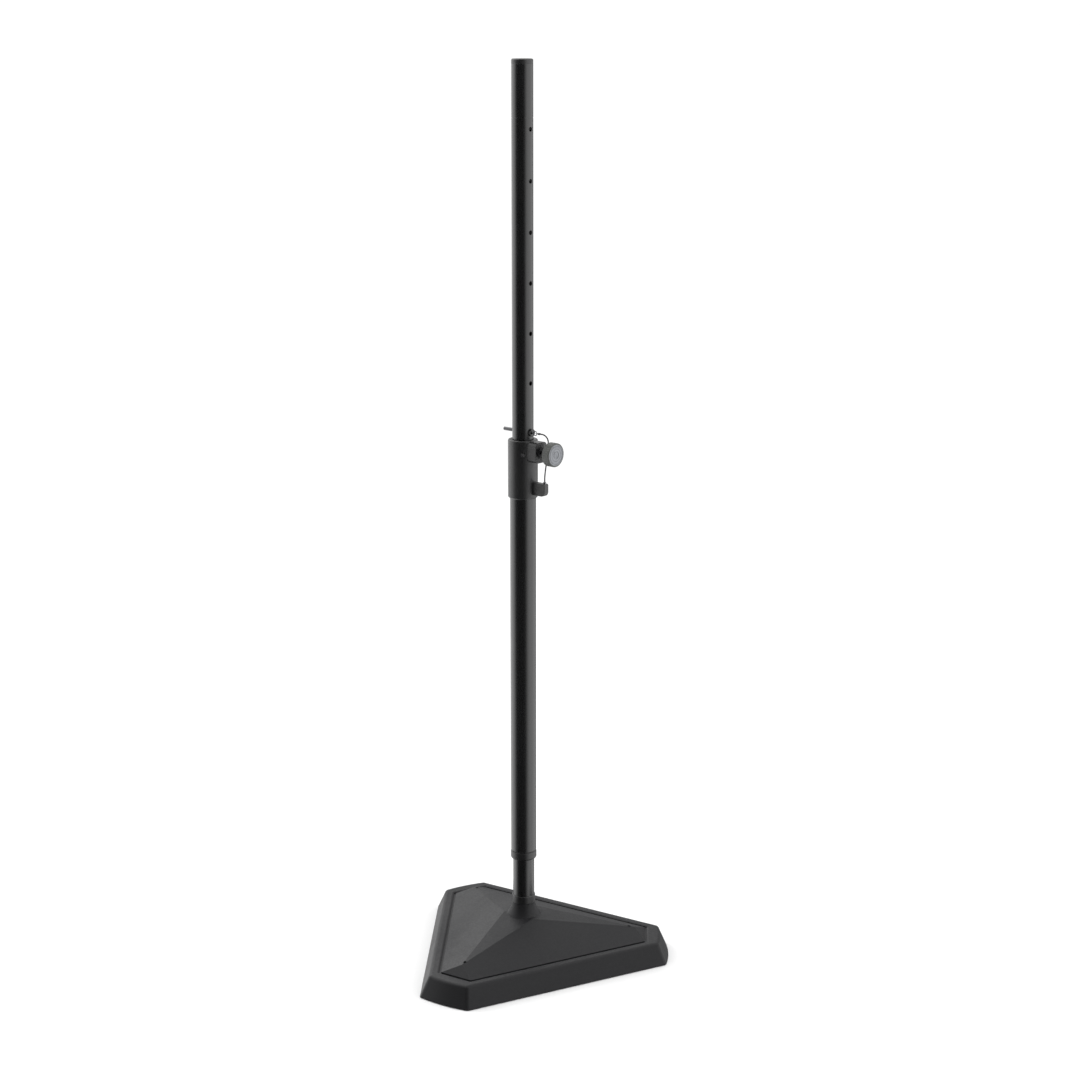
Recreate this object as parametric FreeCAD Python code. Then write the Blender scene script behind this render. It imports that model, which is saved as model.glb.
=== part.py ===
import FreeCAD, Part
import math
import os

# A loudspeaker stand: a weighted three-cornered base, a fixed post and tube, and a mast that slides in it.
#
# Millimetres, +Z up. The origin is on the floor, on the pole's axis. One long side of the base faces -Y.
# The clamp, the locking pin and the mast's holes all lie in one upright plane through the pole's axis. Their
# pieces are drawn along +X and then turned about the pole by CLAMP_ANGLE.

Vector = FreeCAD.Vector
UP = Vector(0, 0, 1)
os.makedirs("parts", exist_ok=True)

# Fits.
FIT = 0.05  # radial gap between pieces that are pushed together
SLIDE_FIT = 0.08  # radial gap between pieces that slide
SCREW_CLEARANCE = 0.1  # radial gap between a screw and its hole
SCREW_END_GAP = 1.0  # from a screw's end to the bottom of its hole
CUT_PAST = 1.0  # how far a cut runs past the surface that it opens
FILLET_MARGIN = 0.2  # what a fillet leaves of a flat side
SAME = 1e-4  # lengths that differ by less are the same length

# Walls and radii up the pole, from the mast outwards. Each tube takes its radius from what goes into it.
MAST_RADIUS = 17.5
TUBE_WALL = 2.0
COLLAR_BUSH_WALL = 1.87
TUBE_BORE = MAST_RADIUS + SLIDE_FIT + COLLAR_BUSH_WALL + FIT
LOWER_TUBE_RADIUS = TUBE_BORE + TUBE_WALL
REDUCER_WALL = 1.25
POST_RADIUS = TUBE_BORE - REDUCER_WALL - 2 * FIT
POST_WALL = 2.5
COLLAR_WALL = 3.1
COLLAR_RADIUS = LOWER_TUBE_RADIUS + COLLAR_WALL

# Base: three straight sides, and three corners rounded about the pole's axis.
CORNER_ANGLES = (-150, -30, 90)
BASE_INRADIUS = 164.3  # pole axis to the foot of a long side
CORNER_CUT = 78.1  # how much shorter a corner is than the full triangle's point
CORNER_RADIUS = 2 * BASE_INRADIUS - CORNER_CUT
RIM_LOW = 1.0
RIM_HEIGHT = 36.6
RIM_INSET = 15.4  # how far the walls lean in on the way up
RIM_ROUNDING = 7.0
WALL_EDGE_ROUNDING = 8.5
SHELL_WALL = 3.5
GROOVE_WIDTH = 4.0
GROOVE_DEPTH = 2.8
GROOVE_FLOOR = 1.8
GROOVE_EDGE_DROP = 1.2  # the slope at the groove's outer edge
GROOVE_EDGE_RUN = 2.6
LEDGE_THICKNESS = GROOVE_DEPTH + GROOVE_FLOOR

# Roof: a flat facet behind each long side, and a narrow strip up to the boss from each corner.
ROOF_MARGIN = 34.4  # foot of a long side to the roof's edge
ROOF_CORNER_MARGIN = 41.4  # foot of a corner to the roof's corner
STRIP_MARGIN = 18.1  # roof's corner to the outer end of its strip
ROOF_DROP = 0.6  # how far the roof's edge lies below the rim
ROOF_RISE = 38.0
PEAK_RADIUS = 34.0  # pole axis to the top of a long side's facet
ROOF_INRADIUS = BASE_INRADIUS - ROOF_MARGIN
ROOF_CORNER = CORNER_RADIUS - ROOF_CORNER_MARGIN
STRIP_TIP = ROOF_CORNER - STRIP_MARGIN
ROOF_EDGE_HEIGHT = RIM_HEIGHT - ROOF_DROP
PEAK_HEIGHT = ROOF_EDGE_HEIGHT + ROOF_RISE
BOSS_WALL = 1.15
BOSS_TOP_RADIUS = POST_RADIUS + BOSS_WALL
BOSS_HEIGHT = 21.0
BOSS_TOP = PEAK_HEIGHT + BOSS_HEIGHT
BOSS_FOOT_RADIUS = 31.0
BOSS_FOOT_DEPTH = 3.2  # how far the boss's foot lies below the peaks
BOSS_FLARE = 0.28  # share of the boss's widening that comes in its upper half

# What the base holds.
MAT_THICKNESS = 2.5
MAT_MARGIN = 14.0
PLATE_THICKNESS = 2.0
PLATE_MARGIN = 8.0
PLATE_TOP = MAT_THICKNESS + PLATE_THICKNESS
WEIGHT_MARGIN = 29.3
WEIGHT_CORNER_MARGIN = 28.5
WEIGHT_THICKNESS = 17.0
WEIGHT_TOP = PLATE_TOP + WEIGHT_THICKNESS
WEIGHT_EDGE_ROUNDING = 8.0
FLANGE_THICKNESS = 6.0
FLANGE_TOP = WEIGHT_TOP + FLANGE_THICKNESS
FLANGE_EDGE = 5.5  # bolt head to the flange's edge
FLANGE_BOLT_RADIUS = 4.0
FLANGE_BOLT_HEAD_RADIUS = 6.5
FLANGE_BOLT_HEAD = 8.0
FLANGE_BOLT_DEPTH = 13.0
FLANGE_BOLT_ROOM = 8.35  # post to the bolt's head
FLANGE_BOLT_CIRCLE = POST_RADIUS + FLANGE_BOLT_ROOM + FLANGE_BOLT_HEAD_RADIUS
COVER_SCREW_PLACE = 9.0  # from the strip's outer end
COVER_SCREW_CIRCLE = STRIP_TIP - COVER_SCREW_PLACE
COVER_SCREW_RADIUS = 2.0
COVER_SCREW_HEAD_RADIUS = 2.7
COVER_SCREW_HEAD = 2.2
COVER_SCREW_SINK = 2.0  # how far the head lies below the roof
COVER_SCREW_DEPTH = 14.0
PILLAR_WALL = 3.7
PLATE_SCREW_MARGIN = 42.5
PLATE_SCREW_CIRCLE = CORNER_RADIUS - PLATE_SCREW_MARGIN
PLATE_SCREW_RADIUS = 2.0
PLATE_SCREW_HEAD_RADIUS = 4.4
PLATE_SCREW_HEAD = 1.6
PLATE_SCREW_DEPTH = 12.0
MAT_OPENING_MARGIN = 2.6  # screw head to the edge of the mat's opening

# Heights up the post and lower tube.
FOOT_RING_WALL = 1.4
FOOT_RING_HEIGHT = 14.0
FOOT_RING_ROUNDING = 1.0
BUSH_RING_LOW = 176.0
BUSH_RING_HEIGHT = 14.0
BUSH_RING_BULGE = 0.5
BUSH_RING_ROUNDING = 3.0
BUSH_NECK_HEIGHT = 1.5
BUSH_NECK_DEPTH = 1.2
BUSH_SLEEVE = 44.0
TUBE_LOW = BUSH_RING_LOW + BUSH_RING_HEIGHT + BUSH_NECK_HEIGHT
POST_IN_TUBE = 40.5
LOWER_TUBE_TOP = 902.0

# Clamp collar.
CLAMP_ANGLE = -69.0
COLLAR_LENGTH = 98.0
COLLAR_CAP = 5.0  # how far the collar stands above the lower tube
COLLAR_TOP = LOWER_TUBE_TOP + COLLAR_CAP
COLLAR_LOW = COLLAR_TOP - COLLAR_LENGTH
COLLAR_BOTTOM_CHAMFER = 2.0
COLLAR_TOP_ROUNDING = 2.5
COLLAR_MOUTH_GAP = 0.6
COLLAR_BUSH_LENGTH = 52.0
CLAMP_BELOW_TOP = 18.0
CLAMP_HEIGHT = COLLAR_TOP - CLAMP_BELOW_TOP
CLAMP_BOSS_LENGTH = 15.4
CLAMP_BOSS_REACH = COLLAR_RADIUS + CLAMP_BOSS_LENGTH
CLAMP_BOSS_WIDTH = 27.0
CLAMP_BOSS_HALF_HEIGHT = 17.0
CLAMP_BOSS_ROUNDING = 7.0
LUG_LENGTH = 26.9
LUG_REACH = COLLAR_RADIUS + LUG_LENGTH
LUG_WIDTH = 9.0
LUG_ABOVE_BOTTOM = 8.0
LUG_HEIGHT = 21.0
LUG_LOW = COLLAR_LOW + LUG_ABOVE_BOTTOM
LUG_TOP = LUG_LOW + LUG_HEIGHT
LUG_ROUNDING = 8.0
LUG_TOP_ROUNDING = 2.5
COLLAR_SCREW_ANGLE = -117.0
COLLAR_SCREW_HEIGHT = CLAMP_HEIGHT - 5.0
COLLAR_SCREW_RADIUS = 1.6
COLLAR_SCREW_HEAD_RADIUS = 3.2
COLLAR_SCREW_RECESS = 2.2
COLLAR_SCREW_SINK = 0.4  # how far the head lies below the collar's side

# Clamp screw and knob, from the mast outwards.
STUD_RADIUS = 4.0
STUD_PITCH = 1.25
STUD_THREAD_DEPTH = 0.45
STUD_THREAD_TURNS = 3
PAD_LIP = 0.9  # how much wider the pad is than the screw
PAD_RADIUS = STUD_RADIUS + PAD_LIP
PAD_CLEARANCE = 0.1
PAD_HOLE_RADIUS = PAD_RADIUS + PAD_CLEARANCE
PAD_GAP = 0.3
PAD_THICKNESS = 5.2
STUD_START = MAST_RADIUS + PAD_GAP + PAD_THICKNESS
INSERT_WALL = 2.5
INSERT_RADIUS = STUD_RADIUS + INSERT_WALL
INSERT_LENGTH = 13.0
INSERT_START = CLAMP_BOSS_REACH - INSERT_LENGTH
INSERT_FLANGE_LIP = 2.5
INSERT_FLANGE = 2.0
KNOB_RADIUS = 19.7
KNOB_HUB_GAP = 9.5  # thread left bare between the nut and the knob's hub
KNOB_HUB_START = CLAMP_BOSS_REACH + INSERT_FLANGE + KNOB_HUB_GAP
KNOB_HUB_LENGTH = 6.0
KNOB_HUB_WALL = 4.5
KNOB_BACK = KNOB_HUB_START + KNOB_HUB_LENGTH
KNOB_THICKNESS = 14.5
KNOB_FRONT = KNOB_BACK + KNOB_THICKNESS
KNOB_GRIP_COUNT = 30
KNOB_GRIP_RADIUS = 0.9
KNOB_ROUNDING = 1.5
KNOB_RIM_WALL = 2.5
KNOB_FACE_RADIUS = KNOB_RADIUS - KNOB_RIM_WALL
KNOB_FACE_THICKNESS = 1.2
KNOB_FACE_BACKING = 4.0  # plastic between the screw's end and the face disc
KNOB_FACE_RINGS = (2.0, 11.2)  # from the disc's rim in to its turned rings
KNOB_FACE_RING_WIDTH = 0.9
KNOB_FACE_RING_DEPTH = 0.35
STUD_END = KNOB_FRONT - KNOB_FACE_THICKNESS - KNOB_FACE_BACKING

# Mast.
MAST_IN_TUBE = 180.0
MAST_LENGTH = 786.0
MAST_BOTTOM = LOWER_TUBE_TOP - MAST_IN_TUBE
MAST_TOP = MAST_BOTTOM + MAST_LENGTH
PIN_ABOVE_COLLAR = 12.3
PIN_HEIGHT = COLLAR_TOP + PIN_ABOVE_COLLAR
PIN_RADIUS = 3.0
HOLE_CLEARANCE = 0.7
HOLE_PITCH = 81.27
HOLES_BELOW_PIN = 1
PLAIN_TOP = 100.0  # length at the mast's top that has no holes
HOLES_ABOVE_PIN = int((MAST_TOP - PLAIN_TOP - PIN_HEIGHT) // HOLE_PITCH)
SEAT_DEPTH = 84.0  # mast top to the depth line
DEPTH_LINE_WIDTH = 1.4
DEPTH_LINE_DEPTH = 0.35
CAP_HEIGHT = 8.0
CAP_PLUG = 18.0
CAP_ROUNDING = 2.5
GLIDE_LENGTH = 30.0
GLIDE_LIP = 4.0

# Locking pin, from the mast's axis outwards.
PIN_TIP = -(MAST_RADIUS + 23.5)
PIN_TIP_CHAMFER = 0.8
PIN_HEAD_GAP = 0.3
PIN_HEAD_RADIUS = 6.2
PIN_HEAD_THICKNESS = 3.4
PIN_TONGUE_GAP = 0.4
PIN_TONGUE_START = MAST_RADIUS + PIN_HEAD_GAP + PIN_HEAD_THICKNESS + PIN_TONGUE_GAP
PIN_TONGUE_THICKNESS = 1.6
PIN_EYE = PIN_TONGUE_START + 1.9
PIN_EYE_EDGE = 2.0  # eye's middle to the pin's end
PIN_END = PIN_EYE + PIN_EYE_EDGE
PIN_EYE_RADIUS = 1.0
RING_RADIUS = 3.6
RING_WIRE = 0.6

# Lanyard: a coated cable from the lug to the pin's ring. Its points are distance out from the collar's side,
# sideways offset (positive is anticlockwise from above) and height above the collar's top.
CABLE_DIAMETER = 2.2
ARC_SHARE = 0.45  # how much of the shorter run beside it an arc takes
ANCHOR_RADIUS = 2.6
ANCHOR_DEPTH = 8.0
ANCHOR_EDGE = 4.0  # anchor's middle to the lug's end
ANCHOR_PLACE = LUG_REACH - ANCHOR_EDGE
ANCHOR_STAND = 3.0
FERRULE_RADIUS = 1.8
EYE_RADIUS = 2.0
EYE_WIRE = 0.5
LINK_GAP = 0.1
LANYARD_LOWER = (
    (22.9, 0.0, -66.0),
    (22.9, 0.0, -58.5),
    (22.7, 1.3, -50.5),
    (22.1, 3.9, -41.5),
    (21.5, 6.3, -32.5),
    (21.2, 7.6, -24.5),
    (20.9, 8.4, -19.5),
)
LANYARD_UPPER = (
    (20.9, 8.4, -19.5),
    (20.6, 9.2, -14.5),
    (21.0, 10.0, -8.4),
    (22.3, 9.6, -2.6),
    (23.1, 8.2, 2.4),
    (22.6, 6.0, 6.9),
    (20.5, 3.8, 10.3),
    (17.0, 1.9, 12.2),
    (12.8, 0.6, 12.4),
)


def cylinder(radius, low, high, x=0.0):
    """An upright cylinder, on the pole's axis or at a distance from it along +X."""
    return Part.makeCylinder(radius, high - low, Vector(x, 0, low), UP)


def tube(outer, inner, low, high):
    """An upright round tube about the pole's axis."""
    return cylinder(outer, low, high).cut(cylinder(inner, low, high))


def rod(radius, start, end, height):
    """A cylinder along +X at a height."""
    return Part.makeCylinder(radius, end - start, Vector(start, 0, height), Vector(1, 0, 0))


def turned(shape, angle=CLAMP_ANGLE):
    """A copy of a shape drawn along +X, turned about the pole's axis."""
    copy = shape.copy()
    copy.rotate(Vector(0, 0, 0), UP, angle)
    return copy


def polar(radius, angle, height):
    """A point at a distance from the pole's axis, in a direction given in degrees."""
    a = math.radians(angle)
    return Vector(radius * math.cos(a), radius * math.sin(a), height)


def at_corners(shape):
    """The same shape, drawn along +X, at the base's three corners."""
    return [turned(shape, angle) for angle in CORNER_ANGLES]


def joined(shapes):
    """One shape out of several that touch."""
    whole = shapes[0]
    for shape in shapes[1:]:
        whole = whole.fuse(shape)
    return whole.removeSplitter()


def without(shape, cuts):
    """A shape with several others cut away."""
    for cut in cuts:
        shape = shape.cut(cut)
    return shape


def circle_edges(shape, radius, height):
    """The round edges of a shape about the pole's axis, of one radius and height."""
    found = []
    for edge in shape.Edges:
        curve = edge.Curve
        if isinstance(curve, Part.Circle) and abs(curve.Radius - radius) < SAME:
            if curve.Center.distanceToPoint(Vector(0, 0, height)) < SAME:
                found.append(edge)
    return found


def steep_edges(shape):
    """The edges that climb from one height to another."""
    return [e for e in shape.Edges if abs(e.Vertexes[0].Z - e.Vertexes[-1].Z) > SAME]


def polygon_face(points):
    """A flat face through points."""
    return Part.Face(Part.makePolygon(list(points) + [points[0]]))


def save(name, shape):
    """Write one piece, and say whether it is sound."""
    shape.exportStep("parts/" + name + ".step")
    state = "valid" if shape.isValid() else "NOT VALID"
    print(name, state, len(shape.Solids), "solids", round(shape.Volume), "mm3")


# ---------------------------------------------------------------- base outlines


def cut_triangle(inradius, corner, height):
    """The six points of a triangle whose corners are cut off square, anticlockwise."""
    half = (2 * inradius - corner) * math.tan(math.radians(30))
    points = []
    for angle in CORNER_ANGLES:
        middle = polar(corner, angle, height)
        along = polar(half, angle + 90, 0)
        points.append(middle - along)
        points.append(middle + along)
    return points


def cut_triangle_block(inradius, corner, low, high):
    """An upright block with that outline."""
    return polygon_face(cut_triangle(inradius, corner, low)).extrude(UP * (high - low))


def leaning_block(inradius, corner, lean, low, high):
    """A block with three flat sides and three round corners, all leaning in by lean for each mm of height."""
    inset = lean * (high - low)
    wires = []
    for height, distance in ((low, inradius), (high, inradius - inset)):
        points = [polar(2 * distance, angle, height) for angle in CORNER_ANGLES]
        wires.append(Part.makePolygon(points + [points[0]]))
    cone = Part.makeCone(corner, corner - inset, high - low, Vector(0, 0, low), UP)
    return cone.common(Part.makeLoft(wires, True, True))


def roof_block(inradius, corner, tip, peak, low, edge, top):
    """The faceted roof as one solid with upright edges.

    Each long side's facet is one plane from the edge up to its peak. A strip runs from each corner's tip up
    to the line between the two peaks beside it.
    """
    slope = (top - edge) / (inradius - peak)
    outline_low = cut_triangle(inradius, corner, low)
    outline = cut_triangle(inradius, corner, edge)
    tips = [polar(tip, angle, edge + slope * (inradius - tip / 2)) for angle in CORNER_ANGLES]
    peaks = [polar(peak, angle + 60, top) for angle in CORNER_ANGLES]
    faces = [polygon_face(outline_low), polygon_face(peaks)]
    for i in range(len(outline)):
        n = (i + 1) % len(outline)
        faces.append(polygon_face([outline_low[i], outline_low[n], outline[n], outline[i]]))
    for i in range(len(CORNER_ANGLES)):
        n = (i + 1) % len(CORNER_ANGLES)
        faces.append(polygon_face([outline[2 * i], outline[2 * i + 1], tips[i]]))
        faces.append(polygon_face([outline[2 * i + 1], outline[2 * n], tips[n], peaks[i], tips[i]]))
        faces.append(polygon_face([tips[i], peaks[i], peaks[i - 1]]))
    return Part.makeSolid(Part.makeShell(faces))


def post_boss():
    """A round boss that widens in a hollow curve down to the roof."""
    foot = PEAK_HEIGHT - BOSS_FOOT_DEPTH
    waist = BOSS_TOP_RADIUS + BOSS_FLARE * (BOSS_FOOT_RADIUS - BOSS_TOP_RADIUS)
    top_edge = Vector(BOSS_TOP_RADIUS, 0, BOSS_TOP)
    middle = Vector(waist, 0, (BOSS_TOP + foot) / 2)
    foot_edge = Vector(BOSS_FOOT_RADIUS, 0, foot)
    side = Part.Arc(top_edge, middle, foot_edge).toShape()
    rest = Part.makePolygon([foot_edge, Vector(0, 0, foot), Vector(0, 0, BOSS_TOP), top_edge])
    outline = Part.Wire([side] + rest.Edges)
    return Part.Face(outline).revolve(Vector(0, 0, 0), UP, 360)


# ---------------------------------------------------------------- base pieces

LEAN = RIM_INSET / (RIM_HEIGHT - RIM_LOW)
ROOF_SLOPE = ROOF_RISE / (ROOF_INRADIUS - PEAK_RADIUS)
TIP_HEIGHT = ROOF_EDGE_HEIGHT + ROOF_SLOPE * (ROOF_INRADIUS - STRIP_TIP / 2)
STRIP_SLOPE = (PEAK_HEIGHT - TIP_HEIGHT) / (STRIP_TIP - PEAK_RADIUS / 2)
COVER_SCREW_SEAT = (
    TIP_HEIGHT + STRIP_SLOPE * (STRIP_TIP - COVER_SCREW_CIRCLE) - COVER_SCREW_SINK - COVER_SCREW_HEAD
)


def base_shell():
    """The moulded cover: leaning walls, a ledge, a groove, the roof and the boss for the post."""
    block = leaning_block(BASE_INRADIUS, CORNER_RADIUS, LEAN, RIM_LOW, RIM_HEIGHT)
    block = block.makeFillet(WALL_EDGE_ROUNDING, steep_edges(block))
    top_edges = [e for e in block.Edges if min(v.Z for v in e.Vertexes) > RIM_HEIGHT - SAME]
    block = block.makeFillet(RIM_ROUNDING, top_edges)
    pocket = cut_triangle_block(
        ROOF_INRADIUS + GROOVE_WIDTH,
        ROOF_CORNER + GROOVE_WIDTH,
        RIM_HEIGHT - GROOVE_DEPTH,
        RIM_HEIGHT + CUT_PAST,
    )
    slope_wires = []
    for height, margin in ((RIM_HEIGHT - GROOVE_EDGE_DROP, 0), (RIM_HEIGHT, GROOVE_EDGE_RUN)):
        inradius = ROOF_INRADIUS + GROOVE_WIDTH + margin
        corner = ROOF_CORNER + GROOVE_WIDTH + margin
        points = cut_triangle(inradius, corner, height)
        slope_wires.append(Part.makePolygon(points + [points[0]]))
    edge_slope = Part.makeLoft(slope_wires, True, True)
    roof = roof_block(
        ROOF_INRADIUS,
        ROOF_CORNER,
        STRIP_TIP,
        PEAK_RADIUS,
        RIM_HEIGHT - LEDGE_THICKNESS,
        ROOF_EDGE_HEIGHT,
        PEAK_HEIGHT,
    )
    outside = joined([without(block, [pocket, edge_slope]), roof, post_boss()])
    ledge_cavity = leaning_block(
        BASE_INRADIUS - SHELL_WALL, CORNER_RADIUS - SHELL_WALL, LEAN, RIM_LOW, RIM_HEIGHT - LEDGE_THICKNESS
    )
    roof_cavity = roof_block(
        ROOF_INRADIUS - SHELL_WALL,
        ROOF_CORNER - SHELL_WALL,
        STRIP_TIP - SHELL_WALL,
        PEAK_RADIUS,
        RIM_LOW,
        ROOF_EDGE_HEIGHT - SHELL_WALL,
        PEAK_HEIGHT - SHELL_WALL,
    )
    shell = outside.cut(ledge_cavity).cut(roof_cavity)
    recess_radius = COVER_SCREW_HEAD_RADIUS + SCREW_CLEARANCE
    pillar = cylinder(recess_radius + PILLAR_WALL, WEIGHT_TOP, COVER_SCREW_SEAT, COVER_SCREW_CIRCLE)
    hole = cylinder(
        COVER_SCREW_RADIUS + SCREW_CLEARANCE,
        WEIGHT_TOP - CUT_PAST,
        COVER_SCREW_SEAT + CUT_PAST,
        COVER_SCREW_CIRCLE,
    )
    recess = cylinder(recess_radius, COVER_SCREW_SEAT, PEAK_HEIGHT, COVER_SCREW_CIRCLE)
    shell = joined([shell] + [p.common(outside) for p in at_corners(pillar)])
    shell = without(shell, at_corners(hole) + at_corners(recess))
    return shell.cut(cylinder(POST_RADIUS + FIT, WEIGHT_TOP, BOSS_TOP + CUT_PAST))


def base_weight():
    """A cast slab that fills the base."""
    slab = cut_triangle_block(
        BASE_INRADIUS - WEIGHT_MARGIN, CORNER_RADIUS - WEIGHT_CORNER_MARGIN, PLATE_TOP, WEIGHT_TOP
    )
    slab = slab.makeFillet(WEIGHT_EDGE_ROUNDING, steep_edges(slab))
    bolt_hole = cylinder(
        FLANGE_BOLT_RADIUS + SCREW_CLEARANCE,
        WEIGHT_TOP - FLANGE_BOLT_DEPTH,
        WEIGHT_TOP,
        FLANGE_BOLT_CIRCLE,
    )
    cover_hole = cylinder(
        COVER_SCREW_RADIUS + SCREW_CLEARANCE,
        WEIGHT_TOP - COVER_SCREW_DEPTH,
        WEIGHT_TOP,
        COVER_SCREW_CIRCLE,
    )
    plate_hole = cylinder(
        PLATE_SCREW_RADIUS + SCREW_CLEARANCE,
        PLATE_TOP,
        PLATE_TOP + PLATE_SCREW_DEPTH,
        PLATE_SCREW_CIRCLE,
    )
    return without(slab, at_corners(bolt_hole) + at_corners(cover_hole) + at_corners(plate_hole))


def bottom_plate():
    """A steel sheet that closes the base from below."""
    plate = cut_triangle_block(
        BASE_INRADIUS - PLATE_MARGIN, CORNER_RADIUS - PLATE_MARGIN - SHELL_WALL, MAT_THICKNESS, PLATE_TOP
    )
    hole = cylinder(PLATE_SCREW_RADIUS + SCREW_CLEARANCE, MAT_THICKNESS, PLATE_TOP, PLATE_SCREW_CIRCLE)
    return without(plate, at_corners(hole))


def rubber_mat():
    """The non-slip mat that the stand rests on, open over the plate's screws."""
    mat = cut_triangle_block(
        BASE_INRADIUS - MAT_MARGIN, CORNER_RADIUS - MAT_MARGIN - SHELL_WALL, 0, MAT_THICKNESS
    )
    opening = cylinder(PLATE_SCREW_HEAD_RADIUS + MAT_OPENING_MARGIN, 0, MAT_THICKNESS, PLATE_SCREW_CIRCLE)
    return without(mat, at_corners(opening))


def plate_screws():
    """The screws that hold the sheet to the weight, heads down."""
    head = cylinder(
        PLATE_SCREW_HEAD_RADIUS, MAT_THICKNESS - PLATE_SCREW_HEAD, MAT_THICKNESS, PLATE_SCREW_CIRCLE
    )
    shank = cylinder(
        PLATE_SCREW_RADIUS,
        MAT_THICKNESS,
        PLATE_TOP + PLATE_SCREW_DEPTH - SCREW_END_GAP,
        PLATE_SCREW_CIRCLE,
    )
    return Part.makeCompound(at_corners(joined([head, shank])))


def cover_screws():
    """The screws sunk in the roof near its corners."""
    head = cylinder(
        COVER_SCREW_HEAD_RADIUS, COVER_SCREW_SEAT, COVER_SCREW_SEAT + COVER_SCREW_HEAD, COVER_SCREW_CIRCLE
    )
    shank = cylinder(
        COVER_SCREW_RADIUS,
        WEIGHT_TOP - COVER_SCREW_DEPTH + SCREW_END_GAP,
        COVER_SCREW_SEAT,
        COVER_SCREW_CIRCLE,
    )
    return Part.makeCompound(at_corners(joined([head, shank])))


def post_flange():
    """The steel foot that the post is welded to."""
    disc = cylinder(FLANGE_BOLT_CIRCLE + FLANGE_BOLT_HEAD_RADIUS + FLANGE_EDGE, WEIGHT_TOP, FLANGE_TOP)
    hole_radius = FLANGE_BOLT_RADIUS + 2 * SCREW_CLEARANCE
    hole = cylinder(hole_radius, WEIGHT_TOP, FLANGE_TOP, FLANGE_BOLT_CIRCLE)
    return without(disc, at_corners(hole))


def flange_bolts():
    """The hexagon bolts through the flange into the weight."""
    centre = Vector(FLANGE_BOLT_CIRCLE, 0, FLANGE_TOP)
    corners = [centre + polar(FLANGE_BOLT_HEAD_RADIUS, 60 * k, 0) for k in range(6)]
    head = polygon_face(corners).extrude(UP * FLANGE_BOLT_HEAD)
    shank = cylinder(
        FLANGE_BOLT_RADIUS,
        WEIGHT_TOP - FLANGE_BOLT_DEPTH + SCREW_END_GAP,
        FLANGE_TOP,
        FLANGE_BOLT_CIRCLE,
    )
    return Part.makeCompound(at_corners(joined([head, shank])))


# ---------------------------------------------------------------- post and tubes


def base_post():
    """The steel tube that stands on the flange and carries the lower tube."""
    return tube(POST_RADIUS, POST_RADIUS - POST_WALL, FLANGE_TOP, TUBE_LOW + POST_IN_TUBE)


def foot_ring():
    """The moulded ring at the post's foot."""
    outer = POST_RADIUS + FIT + FOOT_RING_WALL
    ring_top = BOSS_TOP + FOOT_RING_HEIGHT
    ring = tube(outer, POST_RADIUS + FIT, BOSS_TOP, ring_top)
    edges = circle_edges(ring, outer, BOSS_TOP) + circle_edges(ring, outer, ring_top)
    return ring.makeFillet(FOOT_RING_ROUNDING, edges)


def reducer_bush():
    """The bush between post and lower tube: a bulged ring outside, a neck, and a sleeve inside the tube."""
    outer = LOWER_TUBE_RADIUS + BUSH_RING_BULGE
    ring_top = BUSH_RING_LOW + BUSH_RING_HEIGHT
    ring = cylinder(outer, BUSH_RING_LOW, ring_top)
    edges = circle_edges(ring, outer, BUSH_RING_LOW) + circle_edges(ring, outer, ring_top)
    ring = ring.makeFillet(BUSH_RING_ROUNDING, edges)
    neck = cylinder(LOWER_TUBE_RADIUS - BUSH_NECK_DEPTH, ring_top, TUBE_LOW)
    sleeve = cylinder(TUBE_BORE - FIT, TUBE_LOW, TUBE_LOW + BUSH_SLEEVE)
    bush = joined([ring, neck, sleeve])
    return bush.cut(cylinder(POST_RADIUS + FIT, BUSH_RING_LOW, TUBE_LOW + BUSH_SLEEVE))


def lower_tube():
    """The fixed outer tube."""
    pipe = tube(LOWER_TUBE_RADIUS, TUBE_BORE, TUBE_LOW, LOWER_TUBE_TOP)
    pad_hole = turned(rod(PAD_HOLE_RADIUS, 0, COLLAR_RADIUS, CLAMP_HEIGHT))
    screw_hole = rod(COLLAR_SCREW_RADIUS + SCREW_CLEARANCE, 0, COLLAR_RADIUS, COLLAR_SCREW_HEIGHT)
    return without(pipe, [pad_hole, turned(screw_hole, COLLAR_SCREW_ANGLE)])


def collar_bush():
    """The nylon sleeve in the lower tube's mouth that guides the mast."""
    low = LOWER_TUBE_TOP - COLLAR_BUSH_LENGTH
    sleeve = tube(TUBE_BORE - FIT, MAST_RADIUS + SLIDE_FIT, low, LOWER_TUBE_TOP)
    return sleeve.cut(turned(rod(PAD_HOLE_RADIUS, 0, COLLAR_RADIUS, CLAMP_HEIGHT)))


# ---------------------------------------------------------------- collar and clamp


def rounded_arm(reach, width, low, top, rounding):
    """A bar along +X from the pole's axis, with its long edges rounded."""
    bar = Part.makeBox(reach, width, top - low, Vector(0, -width / 2, low))
    long_edges = [e for e in bar.Edges if abs(e.Vertexes[0].X - e.Vertexes[-1].X) > SAME]
    return bar.makeFillet(min(rounding, width / 2 - FILLET_MARGIN), long_edges)


def collar_lug():
    """The flat lug that holds the lanyard, with its free end rounded."""
    bar = Part.makeBox(LUG_REACH, LUG_WIDTH, LUG_TOP - LUG_LOW, Vector(0, -LUG_WIDTH / 2, LUG_LOW))
    for height, rounding in ((LUG_LOW, LUG_ROUNDING), (LUG_TOP, LUG_TOP_ROUNDING)):
        outer = [e for e in bar.Edges if min(v.X for v in e.Vertexes) > LUG_REACH - SAME]
        level = [e for e in outer if max(abs(v.Z - height) for v in e.Vertexes) < SAME]
        bar = bar.makeFillet(rounding, level)
    return bar


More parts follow.
